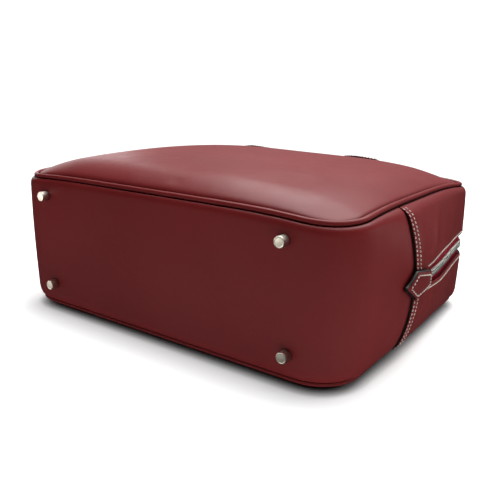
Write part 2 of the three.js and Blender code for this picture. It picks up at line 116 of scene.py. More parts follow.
# ---- materials ----
class Nodes:
    """A short way to wire a node material."""

    def __init__(self, name):
        self.material = bpy.data.materials.new(name)
        self.material.use_nodes = True
        self.tree = self.material.node_tree
        self.shader = self.tree.nodes["Principled BSDF"]
        self.place = self.new("ShaderNodeTexCoord").outputs["Object"]

    def new(self, kind, **settings):
        node = self.tree.nodes.new(kind)
        for key, value in settings.items():
            setattr(node, key, value)
        return node

    def link(self, source, target):
        self.tree.links.new(source, target)

    def set(self, **values):
        for key, value in values.items():
            self.shader.inputs[key.replace("_", " ")].default_value = value

    def noise(self, scale, detail=3.0, roughness=0.55, stretch=None):
        node = self.new("ShaderNodeTexNoise")
        node.inputs["Scale"].default_value = scale
        node.inputs["Detail"].default_value = detail
        node.inputs["Roughness"].default_value = roughness
        self.link(self.stretched(stretch), node.inputs["Vector"])
        return node.outputs["Fac"]

    def stretched(self, stretch):
        if stretch is None:
            return self.place
        node = self.new("ShaderNodeMapping")
        node.inputs["Scale"].default_value = stretch
        self.link(self.place, node.inputs["Vector"])
        return node.outputs["Vector"]

    def cells(self, scale, feature="DISTANCE_TO_EDGE"):
        node = self.new("ShaderNodeTexVoronoi", feature=feature)
        node.inputs["Scale"].default_value = scale
        self.link(self.place, node.inputs["Vector"])
        return node.outputs["Distance"]

    def wave(self, scale, direction, distortion=0.0):
        node = self.new("ShaderNodeTexWave", wave_type="BANDS", bands_direction=direction)
        node.inputs["Scale"].default_value = scale
        node.inputs["Distortion"].default_value = distortion
        self.link(self.place, node.inputs["Vector"])
        return node.outputs["Fac"]

    def ramp(self, source, stops):
        node = self.new("ShaderNodeValToRGB")
        elements = node.color_ramp.elements
        while len(elements) < len(stops):
            elements.new(0.5)
        for element, (at, color) in zip(elements, stops):
            element.position = at
            element.color = (*color, 1)
        self.link(source, node.inputs["Fac"])
        return node.outputs["Color"]

    def scaled(self, source, low, high, start=0.0, end=1.0):
        node = self.new("ShaderNodeMapRange")
        node.inputs["From Min"].default_value = start
        node.inputs["From Max"].default_value = end
        node.inputs["To Min"].default_value = low
        node.inputs["To Max"].default_value = high
        self.link(source, node.inputs["Value"])
        return node.outputs["Result"]

    def math(self, operation, a, b):
        node = self.new("ShaderNodeMath", operation=operation)
        for socket, value in zip(node.inputs, (a, b)):
            if isinstance(value, (int, float)):
                socket.default_value = value
            else:
                self.link(value, socket)
        return node.outputs["Value"]

    def mix(self, a, b, share, blend="MIX"):
        node = self.new("ShaderNodeMix", data_type="RGBA", blend_type=blend)
        for socket, value in ((node.inputs[6], a), (node.inputs[7], b), (node.inputs[0], share)):
            if isinstance(value, (tuple, float)):
                socket.default_value = (*value, 1) if isinstance(value, tuple) else value
            else:
                self.link(value, socket)
        return node.outputs[2]

    def edges(self):
        return self.new("ShaderNodeNewGeometry").outputs["Pointiness"]

    def bump(self, height, strength, distance, below=None):
        node = self.new("ShaderNodeBump")
        node.inputs["Strength"].default_value = strength
        node.inputs["Distance"].default_value = distance
        self.link(height, node.inputs["Height"])
        if below is not None:
            self.link(below, node.inputs["Normal"])
        return node.outputs["Normal"]

    def finish(self, color=None, roughness=None, normal=None):
        for name, socket in (("Base Color", color), ("Roughness", roughness), ("Normal", normal)):
            if socket is not None:
                self.link(socket, self.shader.inputs[name])
        return self.material


def leather(name, deep, light, rough_low, rough_high):
    """Smooth box calf: fine cells, faint creases, soft cloudy colour, lighter rubbed edges, and
    painted shade in its crevices and recesses.
    """
    m = Nodes(name)
    cloud = m.noise(9, detail=4)
    color = m.ramp(cloud, [(0.3, deep), (0.72, light)])
    fleck = m.noise(340, detail=2)
    color = m.mix(color, tuple(c * 1.25 for c in light), m.scaled(fleck, 0, 0.16, 0.45, 0.75))
    rubbed = m.scaled(m.edges(), 0, 0.35, 0.53, 0.62)
    color = m.mix(color, tuple(min(1, c * 1.5) for c in light), rubbed)
    # painted shade: creases, grooves and hollows darkened by pointiness towards a near-black colour
    crevice_shade = m.scaled(m.edges(), 0.75, 0, 0.38, 0.48)
    color = m.mix(color, tuple(c * 0.25 for c in deep), crevice_shade)
    rough = m.scaled(m.noise(45, detail=5), rough_low, rough_high, 0.25, 0.75)
    pores = m.cells(1500)
    grain = m.noise(900, detail=4)
    crease = m.noise(60, detail=5, roughness=0.65)
    normal = m.bump(m.scaled(pores, 0, 1, 0.0, 0.25), 0.10, 0.00010)
    normal = m.bump(grain, 0.12, 0.00012, normal)
    normal = m.bump(crease, 0.10, 0.0008, normal)
    # painted shade: ambient occlusion darkens grooves and recesses, such as beside the welts,
    # almost to black
    shade = m.new("ShaderNodeAmbientOcclusion", samples=8)
    shade.inputs["Distance"].default_value = 0.005
    open_share = m.scaled(shade.outputs["AO"], 0, 1, 0.15, 0.8)
    color = m.mix(tuple(c * 0.06 for c in deep), color, open_share)
    m.set(Specular_IOR_Level=0.2)
    return m.finish(color, rough, normal)


def edge_paint():
    m = Nodes("edge_paint")
    color = m.ramp(m.noise(150), [(0.3, (0.006, 0.004, 0.004)), (0.7, (0.02, 0.013, 0.013))])
    rough = m.scaled(m.noise(220), 0.35, 0.6)
    return m.finish(color, rough, m.bump(m.noise(400), 0.3, 0.0002))


def thread():
    m = Nodes("thread")
    color = m.ramp(m.noise(900), [(0.3, (0.52, 0.42, 0.36)), (0.7, (0.80, 0.72, 0.64))])
    twist = m.wave(420, "DIAGONAL")
    return m.finish(color, m.scaled(twist, 0.55, 0.8), m.bump(twist, 0.5, 0.0001))


def nickel(name, tone):
    m = Nodes(name)
    worn = m.noise(120, detail=5)
    color = m.ramp(worn, [(0.3, tuple(c * 0.82 for c in tone)), (0.7, tone)])
    color = m.mix(color, (0.16, 0.13, 0.12), m.scaled(m.edges(), 0.7, 0, 0.40, 0.49))
    brushed = m.noise(600, detail=3, stretch=(1, 1, 0.15))
    m.set(Metallic=1.0)
    return m.finish(color, m.scaled(worn, 0.42, 0.55), m.bump(brushed, 0.12, 0.00006))


def woven(name, deep, light, pitch):
    m = Nodes(name)
    warp = m.wave(pitch, "Z")
    weft = m.wave(pitch * 0.7, "DIAGONAL", 0.4)
    weave = m.math("MULTIPLY", warp, weft)
    tone = m.math("ADD", m.math("MULTIPLY", weave, 0.6), m.math("MULTIPLY", m.noise(80), 0.4))
    color = m.ramp(tone, [(0.2, deep), (0.8, light)])
    m.set(Specular_IOR_Level=0.08)
    return m.finish(color, m.scaled(weave, 0.9, 0.7), m.bump(weave, 0.6, 0.0003))


def fibre_board():
    m = Nodes("fibre_board")
    color = m.ramp(m.noise(300, detail=6), [(0.3, (0.16, 0.10, 0.06)), (0.7, (0.32, 0.23, 0.15))])
    return m.finish(color, m.scaled(m.noise(90), 0.75, 0.95), m.bump(m.noise(500), 0.4, 0.0003))


BODY = leather("body_leather", (0.170, 0.0135, 0.0150), (0.205, 0.0175, 0.0185), 0.34, 0.44)
STRAP = leather("strap_leather", (0.150, 0.0125, 0.0140), (0.185, 0.0165, 0.0175), 0.36, 0.48)
EDGE = edge_paint()
THREAD = thread()
NICKEL = nickel("nickel", (0.93, 0.88, 0.78))
TEETH = nickel("tooth_nickel", (0.90, 0.88, 0.82))
TAPE = woven("zip_tape", (0.26, 0.004, 0.018), (0.60, 0.015, 0.055), 260)
LINING = woven("lining", (0.055, 0.020, 0.017), (0.13, 0.055, 0.045), 190)
BOARD = fibre_board()


# ---- mesh helpers ----
def mm(*values):
    return tuple(value * MM for value in values)


def smooth(t):
    t = np.clip(t, 0.0, 1.0)
    return t * t * (3 - 2 * t)


def make_object(name, points, faces, materials, slots=None):
    mesh = bpy.data.meshes.new(name)
    mesh.from_pydata([tuple(p) for p in points], [], faces)
    for material in materials:
        mesh.materials.append(material)
    if slots is not None:
        mesh.polygons.foreach_set("material_index", slots)
    mesh.polygons.foreach_set("use_smooth", [True] * len(mesh.polygons))
    mesh.validate()
    mesh.update()
    obj = bpy.data.objects.new(name, mesh)
    bpy.context.collection.objects.link(obj)
    return obj


def stack(parts):
    """Joins (points, faces) parts into one."""
    points, faces = [], []
    for part_points, part_faces in parts:
        base = len(points)
        points.extend(part_points)
        faces.extend([tuple(i + base for i in face) for face in part_faces])
    return points, faces


def merged(name, parts, materials):
    """One object from (points, faces, slot) parts."""
    points, faces = stack(part[:2] for part in parts)
    slots = [slot for _, part_faces, slot in parts for _ in part_faces]
    return make_object(name, points, faces, materials, slots)


def skin(name, outer, inner, materials, bead=0.35, closed=False):
    """A leather piece with thickness from two point grids, its cut edge rounded and painted.

    outer and inner are arrays [rows, columns, 3]; with closed the columns run round a loop.
    """
    rows, columns = outer.shape[:2]
    points = [*outer.reshape(-1, 3), *inner.reshape(-1, 3)]
    faces, slots = [], []
    under = rows * columns

    def at(i, j):
        return i * columns + j % columns

    last = columns if closed else columns - 1
    for i in range(rows - 1):
        for j in range(last):
            quad = (at(i, j), at(i, j + 1), at(i + 1, j + 1), at(i + 1, j))
            faces.append(quad)
            faces.append(tuple(under + k for k in reversed(quad)))
            slots.extend([0, 0])
    if closed:
        rims = [[at(0, j) for j in range(columns)][::-1], [at(rows - 1, j) for j in range(columns)]]
    else:
        rims = [[at(0, j) for j in range(columns)][::-1] + [at(i, 0) for i in range(1, rows)]
                + [at(rows - 1, j) for j in range(1, columns)]
                + [at(i, columns - 1) for i in range(rows - 2, 0, -1)]]
    for rim in rims:
        base = len(points)
        top = np.array([points[k] for k in rim])
        low = np.array([points[k + under] for k in rim])
        # the bead stands out from the rim, away from the sheet
        along = np.roll(top, -1, axis=0) - np.roll(top, 1, axis=0)
        out = np.cross(along, top - low)
        out /= np.maximum(np.linalg.norm(out, axis=1, keepdims=True), 1e-9)
        thick = np.linalg.norm(top - low, axis=1, keepdims=True)
        ring_high = top * 0.78 + low * 0.22 + out * thick * bead
        ring_low = top * 0.22 + low * 0.78 + out * thick * bead
        points.extend(ring_high)
        points.extend(ring_low)
        count = len(rim)
        for k in range(count):
            n = (k + 1) % count
            a, b = rim[k], rim[n]
            c, d = base + k, base + n
            e, f = base + count + k, base + count + n
            faces.extend([(b, a, c, d), (d, c, e, f), (f, e, a + under, b + under)])
            slots.extend([1, 1, 1])
    obj = make_object(name, points, faces, materials, slots)
    outward(obj)
    return obj


def outward(obj):
    mesh = bmesh.new()
    mesh.from_mesh(obj.data)
    bmesh.ops.recalc_face_normals(mesh, faces=mesh.faces)
    mesh.to_mesh(obj.data)
    mesh.free()


def loft(rings, capped=True):
    """Points and faces of a tube through equal rings of points."""
    count = len(rings[0])
    points = [p for ring in rings for p in ring]
    faces = []
    for i in range(len(rings) - 1):
        for j in range(count):
            n = (j + 1) % count
            faces.append((i * count + j, i * count + n, (i + 1) * count + n, (i + 1) * count + j))
    if capped:
        faces.append(tuple(range(count - 1, -1, -1)))
        faces.append(tuple((len(rings) - 1) * count + j for j in range(count)))
    return points, faces


def lathe(profile, sides=40):
    """Points and faces of a turned piece about Z; profile is (radius, height) from axis to axis."""
    rings = [[Vector((r * math.cos(a), r * math.sin(a), h))
              for a in (2 * math.pi * k / sides for k in range(sides))] for r, h in profile]
    return loft(rings)


def block(size, center, bevel, segments=2):
    """Points and faces of a small block with rounded edges."""
    mesh = bmesh.new()
    bmesh.ops.create_cube(mesh, size=1)
    bmesh.ops.scale(mesh, vec=size, verts=mesh.verts)
    bmesh.ops.bevel(mesh, geom=mesh.edges[:], offset=bevel, segments=segments, profile=0.5,
                    affect="EDGES")
    bmesh.ops.translate(mesh, vec=center, verts=mesh.verts)
    mesh.verts.index_update()
    points = [v.co.copy() for v in mesh.verts]
    faces = [tuple(v.index for v in face.verts) for face in mesh.faces]
    mesh.free()
    return points, faces


# ---- how the soft body settles: one field moves every layer alike ----
SAGS = [  # corner of the front panel, depth, reach
    ((HALF_L, -HALF_H), 4.0 * MM, 45 * MM),
    ((-HALF_L, -HALF_H), 2.2 * MM, 45 * MM),
    ((HALF_L, HALF_H), 5.5 * MM, 50 * MM),
    ((-HALF_L, HALF_H), 4.5 * MM, 48 * MM),
]
SIDE_BULGE = 8 * MM  # as in the CAD solids
SIDE_SWELL = 14 * MM  # the short sides' whole swell
SWELL_Y = -25 * MM
CORNER_SWELL = (0.5 * MM, 1.0 * MM)
ZIP_SAG = 0.6 * MM
BOTTOM_RIPPLE = 0.35 * MM
LEFT_LEAN = 3.5 * MM  # how far the left side tucks in at the ground


def midness(z):
    """1 at mid thickness, 0 at the welts and beyond."""
    return np.clip(1 - ((z - Z_MID) / (THICKNESS / 2)) ** 2, 0, 1)


def cad_bulge(y, z):
    along = np.clip((y + 20 * MM) / (95 * MM), -1, 1)
    return SIDE_BULGE * np.cos(along * math.pi / 2) ** 2 * midness(z)


def boxy(z):
    """0 at the welts, rising fast to 1 at mid thickness, as a full bag's side does."""
    start = 2 * MM
    u = np.clip((THICKNESS / 2 - np.abs(z - Z_MID) - start) / (THICKNESS / 2 - start), 0, 1)
    return (1 - (1 - u) ** 2) ** 0.75


def settle(points):
    """Corners sag, the short sides swell, and the leather is never quite flat."""
    p = np.array(points, float).reshape(-1, 3)
    x, y, z = p[:, 0].copy(), p[:, 1].copy(), p[:, 2].copy()
    lift = np.clip((z - Z_BACK) / THICKNESS, 0, 1.2) ** 1.5
    for (cx, cy), depth, reach in SAGS:
        p[:, 2] -= depth * lift * np.exp(-((x - cx) ** 2 + (y - cy) ** 2) / reach ** 2)
    fullness = boxy(z)
    reach = np.where(y < SWELL_Y, 100 * MM, 165 * MM)
    along = np.cos(np.clip((y - SWELL_Y) / reach, -1, 1) * math.pi / 2) ** 2
    side = smooth((np.abs(x) - 0.80 * HALF_L) / (0.18 * HALF_L))
    p[:, 0] += np.sign(x) * side * (SIDE_SWELL * along * fullness - cad_bulge(y, z))
    corner = (smooth((np.abs(x) - 0.74 * HALF_L) / (0.2 * HALF_L))
              * smooth((-y - 0.5 * HALF_H) / (0.3 * HALF_H)))
    p[:, 0] += np.sign(x) * CORNER_SWELL[0] * corner * fullness
    p[:, 1] -= CORNER_SWELL[1] * corner * fullness
    beside_zip = (side * smooth((y + 15 * MM) / (50 * MM))
                  * smooth((HALF_H - 5 * MM - y) / (40 * MM)))
    p[:, 2] -= ZIP_SAG * beside_zip * midness(z) ** 2
    p[:, 0] += LEFT_LEAN * smooth(-x / HALF_L) * np.clip(1 - (z - Z_BACK) / THICKNESS, 0, 1)
    ripple = np.sin(x * 41 + 1.3) * np.sin(z * 63 + 0.4) + 0.5 * np.sin(x * 23 - z * 48)
    bottom = (smooth((-y - 0.80 * HALF_H) / (0.2 * HALF_H))
              * smooth((HALF_L - np.abs(x)) / (50 * MM)))
    p[:, 1] += BOTTOM_RIPPLE * ripple * bottom * fullness
    return p.reshape(np.shape(points))


# ---- the outline, anticlockwise, as rows [x, y, nx, ny] ----
def arc_rows(cx, cy, r, start):
    steps = max(6, round(r * math.pi / 2 / STEP))
    a = np.radians(np.linspace(start, start + 90, steps + 1))
    return np.stack([cx + r * np.cos(a), cy + r * np.sin(a), np.cos(a), np.sin(a)], axis=1)


def line_rows(start, end, normal):
    length = math.dist(start, end)
    t = np.linspace(0, 1, max(2, round(length / STEP)) + 1)[:, None]
    xy = np.array(start) * (1 - t) + np.array(end) * t
    return np.concatenate([xy, np.broadcast_to(normal, xy.shape)], axis=1)


def joined(*runs):
    return np.concatenate([runs[0]] + [run[1:] for run in runs[1:]])


BOTTOM_LEFT = arc_rows(-HALF_L + CORNER_BOTTOM, -HALF_H + CORNER_BOTTOM, CORNER_BOTTOM, 180)
BOTTOM_RIGHT = arc_rows(HALF_L - CORNER_BOTTOM, -HALF_H + CORNER_BOTTOM, CORNER_BOTTOM, 270)
TOP_RIGHT = arc_rows(HALF_L - CORNER_TOP, HALF_H - CORNER_TOP, CORNER_TOP, 0)
TOP_LEFT = arc_rows(-HALF_L + CORNER_TOP, HALF_H - CORNER_TOP, CORNER_TOP, 90)
BOTTOM_ARC_Y = -HALF_H + CORNER_BOTTOM
TOP_ARC_Y = HALF_H - CORNER_TOP


def upper_outline(start_y):
    """From start_y on the right side, round the zip, to start_y on the left."""
    right = line_rows((HALF_L, start_y), (HALF_L, TOP_ARC_Y), (1, 0))
    across = line_rows((HALF_L - CORNER_TOP, HALF_H), (-HALF_L + CORNER_TOP, HALF_H), (0, 1))
    left = line_rows((-HALF_L, TOP_ARC_Y), (-HALF_L, start_y), (-1, 0))
    return joined(right, TOP_RIGHT, across, TOP_LEFT, left)


def lower_outline(start_y):
    """From start_y on the left side, round the feet, to start_y on the right."""
    left = line_rows((-HALF_L, start_y), (-HALF_L, BOTTOM_ARC_Y), (-1, 0))
    corner_x = HALF_L - CORNER_BOTTOM
    across = line_rows((-corner_x, -HALF_H), (corner_x, -HALF_H), (0, -1))
    right = line_rows((HALF_L, BOTTOM_ARC_Y), (HALF_L, start_y), (1, 0))
    return joined(left, BOTTOM_LEFT, across, BOTTOM_RIGHT, right)


def whole_outline():
    upper = upper_outline(0.0)
    lower = lower_outline(0.0)
    return np.concatenate([upper[:-1], lower[:-1]])


def bulge(rows, z):
    return cad_bulge(rows[..., 1], z) * rows[..., 2] ** 2


def off_outline(rows, out, z):
    """Points at a distance out from the outline at height z, before settling."""
    rows, out, z = np.asarray(rows), np.asarray(out), np.asarray(z)
    d = out + bulge(rows, z)
    return np.stack([rows[..., 0] + rows[..., 2] * d, rows[..., 1] + rows[..., 3] * d,
                     z + 0 * d], axis=-1)


def blend_mouth(obj):
    """Bakes the piece's placement into its mesh, attaching it to no body."""
    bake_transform(obj)


METAL_PIECES = []


def settle_on(obj, body, slot, *nodes):
    """Attaches a piece to its body (a mouth piece only has its placement baked), keeps nickel
    pieces for the metal lights, and hides the CAD nodes it stands for.
    """
    if slot == "nickel":
        METAL_PIECES.append(obj)
    if body == "mouth":
        blend_mouth(obj)
    else:
        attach(obj, body)
    if nodes:
        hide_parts(*nodes)
    return obj


# ---- panels ----
CROWN_WIDTH = (36 * MM, 42 * MM)  # towards the feet and towards the handles
DOMING = 5.6 * MM
DOMING_SKEW = 20  # the dome is higher towards the left
PANEL_INSET = PIPING_INSET + PIPING_R + 0.2 * MM


def corner_radius(y, inset):
    return np.where(y < 0, CORNER_BOTTOM, CORNER_TOP) - inset


def rounded(x, y, inset):
    """Maps a rectangle's grid onto the rounded outline."""
    half_x, half_y = HALF_L - inset, HALF_H - inset
    r = corner_radius(y, inset)
    p = np.clip((np.abs(x) - (half_x - r)) / r, 0, 1)
    q = np.clip((np.abs(y) - (half_y - r)) / r, 0, 1)
    in_corner = (p > 0) & (q > 0)
    new_x = np.sign(x) * (half_x - r + r * p * np.sqrt(1 - q * q / 2))
    new_y = np.sign(y) * (half_y - r + r * q * np.sqrt(1 - p * p / 2))
    return np.where(in_corner, new_x, x), np.where(in_corner, new_y, y)


def panel_lines(half):
    edge = np.array([0, 0.6, 1.3, 2.2, 3.4, 5, 7, 9.5, 12.5, 16, 20, 25]) * MM
    middle_half = half - 28 * MM
    middle = np.linspace(-middle_half, middle_half, round(2 * middle_half / (3.2 * MM)) + 1)
    return np.concatenate([-half + edge, middle, (half - edge)[::-1]])


def front_height(x, y, inset):
    """Height of the front panel: a quick rise from the welt, then a long soft crown."""
    end, long_side = HALF_L - inset - np.abs(x), HALF_H - inset - np.abs(y)
    edge = np.minimum(end, long_side)
    lip = -3.0 * MM + 3.6 * MM * (1 - np.exp(-edge / (0.9 * MM)))
    end_width = np.where(x < 0, 62 * MM, 50 * MM)
    pillow_x = 1 - (1 - np.clip(end / end_width, 0, 1)) ** 2.5
    pillow_y = 1 - (1 - np.clip(long_side / np.where(y < 0, *CROWN_WIDTH), 0, 1)) ** 2.6
    u, v = x / HALF_L, y / HALF_H
    slump = smooth((u - 0.2) / 0.8) * smooth((-v - 0.1) / 0.9)
    far = smooth((u - 0.45) / 0.55) * smooth((v - 0.2) / 0.8)
    pillow = (FRONT_CROWN - 1.6 * MM) * (1 - 0.35 * slump - 0.35 * far) * pillow_x * pillow_y
    from_ends = 1 - (x / HALF_L) ** 2
    skew = DOMING_SKEW * x * np.maximum(0, from_ends) * MM
    doming = (DOMING * from_ends - skew) * (1 - (y / HALF_H) ** 2)
    waves = 0.3 * MM * (np.sin(x * 34 + y * 21 + 0.8) + 0.6 * np.sin(x * 57 - y * 43 + 2.1))
    from_crease = ((x - 11 * MM) / (7 * MM)) ** 2 + ((y + 108 * MM) / (2.2 * MM)) ** 2
    crease = -0.7 * MM * np.exp(-from_crease)
    return Z_FRONT + lip + pillow + doming + waves * pillow_x * pillow_y + crease


def back_height(x, y, inset):
    edge = np.minimum(HALF_L - inset - np.abs(x), HALF_H - inset - np.abs(y))
    lip = 3.0 * MM * np.exp(-edge / (0.9 * MM))
    s = np.clip(edge / (26 * MM), 0, 1)
    resting = Z_BACK * (1 - s) ** 2.4
    recess = 2.7 * MM * smooth((y - 58 * MM) / (14 * MM))
    return np.maximum(resting, recess) + lip


def panel(name, height, inward, node, body, slot, inset=PANEL_INSET, thickness=LEATHER, lift=0.0,
          materials=None):
    xs, ys = panel_lines(HALF_L - inset), panel_lines(HALF_H - inset)
    gx, gy = np.meshgrid(xs, ys)
    z = height(gx, gy, inset) + lift
    px, py = rounded(gx, gy, inset)
    outer = settle(np.stack([px, py, z], axis=-1))
    inner = outer + np.array([0, 0, inward * thickness])
    obj = skin(name, outer, inner, materials or [BODY, BODY], bead=0.1)
    return settle_on(obj, body, slot, node)


def make_panels():
    panel("front_face", front_height, -1, "front_panel", "mouth", "body_leather")
    panel("back_face", back_height, 1, "back_panel", "root", "body_leather")
    lining = [LINING, LINING]
    panel("front_lining", front_height, -1, "lining_front", "mouth", "lining", PANEL_INSET + 4 * MM,
          0.8 * MM, -LEATHER - 1.0 * MM, lining)
    panel("back_lining", back_height, 1, "lining_back", "root", "lining", PANEL_INSET + 4 * MM,
          0.8 * MM, LEATHER + 1.0 * MM, lining)


# ---- piping ----
def make_piping(name, z, node, body):
    rows = whole_outline()
    sides = 14
    angles = 2 * math.pi * np.arange(sides) / sides
    pull = 1 + 0.03 * np.sin(np.arange(len(rows)) * 0.7) * np.sin(np.arange(len(rows)) * 0.23)
    rings = []
    for row, r in zip(rows, PIPING_R * 0.95 * pull):
        out = -PIPING_INSET + r * np.cos(angles)
        rings.append(off_outline(np.broadcast_to(row, (sides, 4)), out, z + r * np.sin(angles)))
    rings = settle(np.array(rings))
    points, faces = loft([*rings, rings[0]], capped=False)
    # the seam allowance of the welt, tucked between panel and gusset
    flange_side = -1 if z > Z_MID else 1
    inner_edge = off_outline(rows, -PIPING_INSET - 0.5 * MM, z + flange_side * PIPING_R * 0.6)
    outer_edge = off_outline(rows, -PIPING_INSET + 0.5 * MM, z + flange_side * PIPING_R * 0.6)
    deep = 4.2 * MM * flange_side
    inner_deep, outer_deep = inner_edge + (0, 0, deep), outer_edge + (0, 0, deep)
    flange_rings = settle(np.stack([inner_edge, inner_deep, outer_deep, outer_edge], axis=1))
    flange_points, flange_faces = loft([*flange_rings, flange_rings[0]], capped=False)
    obj = merged(name, [(points, faces, 0), (flange_points, flange_faces, 0)], [BODY])
    weld(obj)
    return settle_on(obj, body, "body_leather", node)


def weld(obj, distance=1e-6):
    mesh = bmesh.new()
    mesh.from_mesh(obj.data)
    bmesh.ops.remove_doubles(mesh, verts=mesh.verts, dist=distance)
    bmesh.ops.recalc_face_normals(mesh, faces=mesh.faces)
    mesh.to_mesh(obj.data)
    mesh.free()


# ---- gussets ----
SHOULDER_TUCK = 3.1 * MM
SHOULDER_START = 1.9 * MM
SHOULDER_FALL = {1: 5.6 * MM, -1: 9 * MM}  # front and back


def shoulder_rows(z_plane, sign):
    """Outer distance and height from the welt's groove over the rounded shoulder."""
    rows = [(-4.3 * MM, z_plane - sign * 5.0 * MM), (-3.6 * MM, z_plane - sign * 3.2 * MM)]
    for a in np.linspace(0, math.pi / 2, 8):
        rows.append((SHOULDER_TUCK * (math.sin(a) - 1),
                     z_plane - sign * (SHOULDER_START + SHOULDER_FALL[sign] * (1 - math.cos(a)))))
    return rows


def shoulder_out(z, sign):
    """How far the shoulder lies inside the outline at height z."""
    fallen = (THICKNESS / 2 - np.abs(z - Z_MID) - SHOULDER_START) / SHOULDER_FALL[sign]
    cosine = 1 - np.clip(fallen, 0, 1)
    return SHOULDER_TUCK * (np.sqrt(1 - cosine ** 2) - 1)


def gusset(name, outline, profile, lift, node, body, materials=None, thickness=LEATHER, bead=0.35,
           shift=None):
    """A leather band along the outline: lift(rows, z) raises it, shift moves it in z."""
    out = np.array([p[0] for p in profile])
    z = np.array([p[1] for p in profile])
    # the inner face follows the profile's own normal
    slope = np.gradient(np.stack([out, z], axis=1), axis=0)
    normal = np.stack([slope[:, 1], -slope[:, 0]], axis=1)
    normal /= np.linalg.norm(normal, axis=1, keepdims=True)
    rows = np.broadcast_to(outline[None], (len(profile), *outline.shape))
    grid_z = np.broadcast_to(z[:, None], rows.shape[:2])
    raised = lift(rows, grid_z)
    drift = shift(rows, grid_z) if shift else 0
    outer = off_outline(rows, out[:, None] + raised, grid_z + drift)
    inner = off_outline(rows, (out - normal[:, 0] * thickness)[:, None] + raised,
                        (z - normal[:, 1] * thickness)[:, None] + drift + 0 * grid_z)
    obj = skin(name, settle(outer), settle(inner), materials or [BODY, EDGE], bead)
    return settle_on(obj, body, "body_leather", node)


LAP_LIFT = 1.2 * MM
STRIP_LIFT = 0.4 * MM
LIP_CLOSING = 3.2 * MM
STRIP_FOLDS = [(-14 * MM, 0.55, 5 * MM, 0.8 * MM), (10 * MM, 0.3, 7 * MM, -0.7 * MM),
               (42 * MM, 0.35, 10 * MM, 0.7 * MM)]  # where along the side, slant, width, height


def lip_shift(rows, z):
    """The zip's lips draw together towards its end tabs."""
    sign = np.sign(z - Z_MID)
    from_lip = np.abs(z - Z_MID) - (LIP_FRONT - LIP_BACK) / 2
    near_tab = 1 - smooth((rows[..., 1] - ZIP_END_Y) / (48 * MM))
    return -sign * LIP_CLOSING * near_tab * rows[..., 2] ** 2 * (1 - smooth(from_lip / (26 * MM)))


def strip_lift(rows, z):
    """The upper gusset stands proud where it laps over the bottom gusset's end."""
    near_seam = 1 - smooth((rows[..., 1] - SEAM_Y - 12 * MM) / (16 * MM))
    on_side = rows[..., 2] ** 2
    clear = smooth((THICKNESS / 2 - np.abs(z - Z_MID) - 1.5 * MM) / (6 * MM))
    rise = np.abs(z - Z_MID)
    folds = 0
    for place, slant, width, height in STRIP_FOLDS:
        folds = folds + height * np.exp(-((rows[..., 1] - place - slant * rise) / width) ** 2)
    away = smooth((rise - 11 * MM) / (8 * MM)) * smooth((THICKNESS / 2 - 8 * MM - rise) / (16 * MM))
    lap = (LAP_LIFT - STRIP_LIFT) * near_seam
    return (STRIP_LIFT + (lap + folds * away) * on_side) * clear


def groove(distance, depth=0.35 * MM, width=0.9 * MM):
    """The line of a stitch row pulled into the leather."""
    return -depth * math.exp(-(distance / width) ** 2)


LIP_STITCH = 3.0 * MM
LIP_ROWS = np.array([0, 0.6, 1.3, 2.0, 2.5, 3.0, 3.5, 4.1, 5.0, 6.5]) * MM


def strip_profile(lip_z, shoulder, sign):
    """From the zip lip to the shoulder; sign is +1 for the front strip."""
    lip = []
    for d in LIP_ROWS:
        turned = -0.9 * MM * math.exp(-d / (0.8 * MM))
        lip.append((turned + groove(d - LIP_STITCH), lip_z + sign * d))
    edge = shoulder[-1][1]
    start = lip_z + sign * 9 * MM
    flat = [(0.0, z) for z in np.linspace(start, edge, 14)[:-1]]
    rows = lip + flat + shoulder[::-1]
    return rows if sign > 0 else rows[::-1]


def make_gussets():
    front_shoulder = shoulder_rows(Z_FRONT, 1)
    back_shoulder = shoulder_rows(Z_BACK, -1)
    span = np.linspace(back_shoulder[-1][1], front_shoulder[-1][1], 30)[1:-1]
    full = back_shoulder + [(0.0, z) for z in span] + front_shoulder[::-1]
    gusset("bottom_band", lower_outline(SEAM_Y + 8 * MM), full, tuck, "bottom_gusset", "mouth")
    outline = upper_outline(SEAM_Y)
    gusset("front_strip", outline, strip_profile(LIP_FRONT, front_shoulder, 1), strip_lift,
           "upper_gusset_front", "mouth", shift=lip_shift)
    gusset("back_strip", outline, strip_profile(LIP_BACK, back_shoulder, -1), strip_lift,
           "upper_gusset_back", "root", shift=lip_shift)
    make_gusset_linings()


def no_lift(rows, _z):
    return np.zeros(rows.shape[:2])


def tuck(rows, _z):
    """The bottom gusset's ends are pressed in under the upper gusset."""
    return -0.9 * MM * smooth((rows[..., 1] - SEAM_Y + 3 * MM) / (4 * MM)) * rows[..., 2] ** 2


def make_gusset_linings():
    inside = -5.7 * MM
    low, high = Z_BACK + 9 * MM, Z_FRONT - 6 * MM
    bottom = [(inside, z) for z in np.linspace(low, high, 12)]
    back = [(inside, z) for z in np.linspace(low, Z_MID - 16 * MM, 6)]
    front = [(inside, z) for z in np.linspace(Z_MID + 16 * MM, high, 6)]
    sheets = [
        ("bottom_lining", lower_outline(SEAM_Y + 4 * MM), bottom, "lining_bottom", "mouth"),
        ("back_strip_lining", upper_outline(SEAM_Y + 15 * MM), back, "lining_gusset_back", "root"),
        ("front_strip_lining", upper_outline(SEAM_Y + 15 * MM), front, "lining_gusset_front",
         "mouth"),
    ]
    for name, outline, profile, node, body in sheets:
        obj = gusset(name, outline, profile, no_lift, node, body, [LINING, LINING], 0.8 * MM, 0.1)


